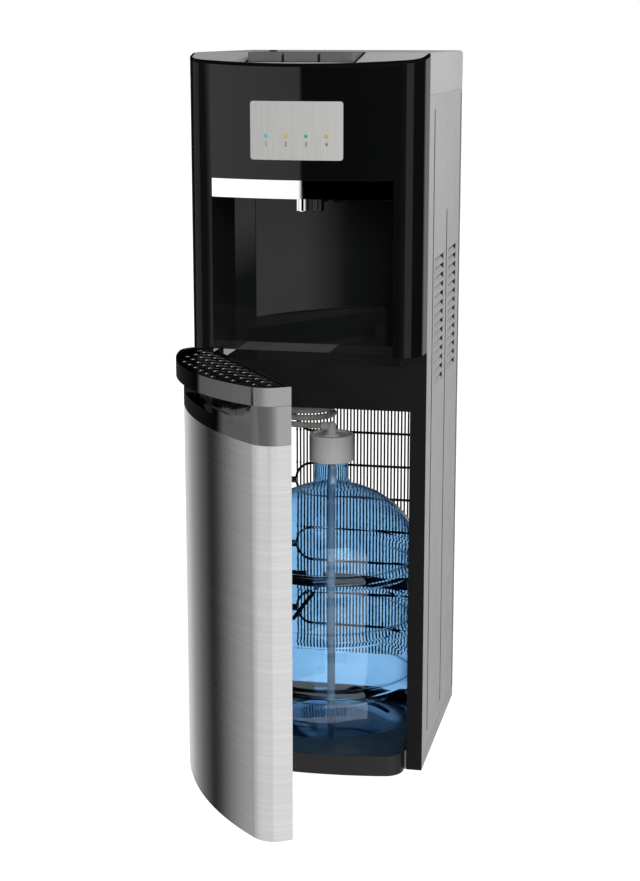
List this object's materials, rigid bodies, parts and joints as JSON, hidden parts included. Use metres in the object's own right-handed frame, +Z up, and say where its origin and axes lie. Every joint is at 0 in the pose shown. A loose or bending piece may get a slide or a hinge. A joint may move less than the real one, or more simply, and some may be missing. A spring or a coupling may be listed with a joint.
{
  "type": "bottom load water cooler",
  "caption": "Free-standing water cooler: a bowed door hides the bottle below, an open niche with spouts above, and rocking keys on the sloping top.",
  "frame": {"origin": "the middle of the front left foot's underside, on the floor that the feet stand on; the cabinet's footprint is centred at x = 128 mm, y = 127.5 mm", "axes": "+Z up; -Y is the front with the door and the niche; +X is to the right of someone facing the front"},
  "size_m": [0.347, 0.631, 1.043],
  "materials": {
    "black_gloss": "high gloss",
    "black_plastic": "satin",
    "grey_sheet": "satin powder coat",
    "grey_cover": "satin",
    "steel_skin": "horizontal brushed",
    "liner_plastic": "satin",
    "key_grey": "satin",
    "zinc_steel": "zinc plated",
    "rear_steel": "matt",
    "wire_grey": "satin",
    "black_paint": "satin",
    "chrome": "polished",
    "lamp_lens": "clear tinted",
    "board_green": "solder mask",
    "bottle_blue": "clear tinted",
    "cap_grey": "satin",
    "hose_clear": "translucent",
    "probe_grey": "satin",
    "rubber_black": "matt",
    "acetal_black": "satin",
    "copper_pipe": "drawn",
    "foam_white": "foam"
  },
  "bodies": {
    "cabinet": {"bow_panel": "black_gloss", "niche_liner": "black_gloss", "front_frame": "black_plastic", "bottle_base": "black_plastic", "button_rim": "black_plastic", "spout_cold": "black_plastic", "switch_bezels": "black_plastic", "power_inlet": "black_plastic", "drain_spout": "black_plastic", "pump": "black_plastic", "spout_manifold": "black_plastic", "tap_valves": "black_plastic", "hose_fitting": "black_plastic", "left_side_panel": "grey_sheet", "right_side_panel": "grey_sheet", "base_pan": "grey_sheet", "top_cover": "grey_cover", "indicator_plate": "steel_skin", "mid_deck": "zinc_steel", "valve_bridge": "zinc_steel", "hinge_brackets": "zinc_steel", "tank_shelf": "zinc_steel", "screws": "zinc_steel", "cold_tank": "zinc_steel", "hot_tank": "zinc_steel", "magnet_catch": "zinc_steel", "back_panel": "rear_steel", "condenser_brackets": "rear_steel", "condenser_wires": "wire_grey", "condenser_tube": "black_paint", "rear_brace": "black_paint", "compressor": "black_paint", "spout_hot": "chrome", "trim_band": "chrome", "indicator_lamps": "lamp_lens", "lamp_board": "board_green", "control_board": "board_green", "bottle": "bottle_blue", "bottle_cap": "cap_grey", "probe_elbow": "cap_grey", "suction_hose": "hose_clear", "dip_tube": "probe_grey", "feet": "rubber_black", "compressor_grommets": "rubber_black", "refrigerant_lines": "copper_pipe", "cold_tank_foam": "foam_white"},
    "door": {"door_skin": "steel_skin", "door_liner": "liner_plastic", "door_cap": "black_plastic", "door_bushes": "acetal_black"},
    "tray": {"drip_tray": "black_plastic", "drip_grille": "black_plastic"},
    "latch_key": {"latch_button": "black_plastic"},
    "hot_key": {"button_hot": "key_grey"},
    "room_key": {"button_room": "key_grey"},
    "cold_key": {"button_cold": "key_grey"},
    "lock_tab": {"child_lock": "black_plastic"},
    "switch_1": {"rocker_1": "black_plastic"},
    "switch_2": {"rocker_2": "black_plastic"},
    "plug": {"drain_plug": "black_plastic"}
  },
  "joints": [
    {"name": "door_swing", "type": "hinge", "parent": "cabinet", "child": "door", "pos_m": [-0.026, -0.0466, 0.3], "axis": [0, 0, -1], "range_deg": [-56, 34]},
    {"name": "tray_slide", "type": "slide", "parent": "door", "child": "tray", "axis": [-0.829, -0.5592, 0], "range_m": [0, 0.095]},
    {"name": "latch_press", "type": "slide", "parent": "door", "child": "latch_key", "axis": [0.829, 0.5592, 0], "range_m": [0, 0.003], "stiffness_N_per_m": 500, "springref_m": -0.002},
    {"name": "hot_press", "type": "hinge", "parent": "cabinet", "child": "hot_key", "pos_m": [0.128, -0.03292, 1.03469], "axis": [1, 0, 0], "range_deg": [0, 4.5], "stiffness_Nm_per_rad": 2, "springref_deg": -2.86},
    {"name": "room_press", "type": "hinge", "parent": "cabinet", "child": "room_key", "pos_m": [0.128, -0.03292, 1.03469], "axis": [1, 0, 0], "range_deg": [0, 4.5], "stiffness_Nm_per_rad": 2, "springref_deg": -2.86},
    {"name": "cold_press", "type": "hinge", "parent": "cabinet", "child": "cold_key", "pos_m": [0.128, -0.03292, 1.03469], "axis": [1, 0, 0], "range_deg": [0, 4.5], "stiffness_Nm_per_rad": 2, "springref_deg": -2.86},
    {"name": "lock_slide", "type": "slide", "parent": "cabinet", "child": "lock_tab", "axis": [0, 1, 0], "range_m": [0, 0.004]},
    {"name": "switch_1_rock", "type": "hinge", "parent": "cabinet", "child": "switch_1", "pos_m": [0.198, 0.2855, 0.905], "axis": [1, 0, 0], "range_deg": [-16, 0]},
    {"name": "switch_2_rock", "type": "hinge", "parent": "cabinet", "child": "switch_2", "pos_m": [0.232, 0.2855, 0.905], "axis": [1, 0, 0], "range_deg": [-16, 0]},
    {"name": "plug_pull", "type": "slide", "parent": "cabinet", "child": "plug", "axis": [0, 1, 0], "range_m": [0, 0.025]}
  ]
}
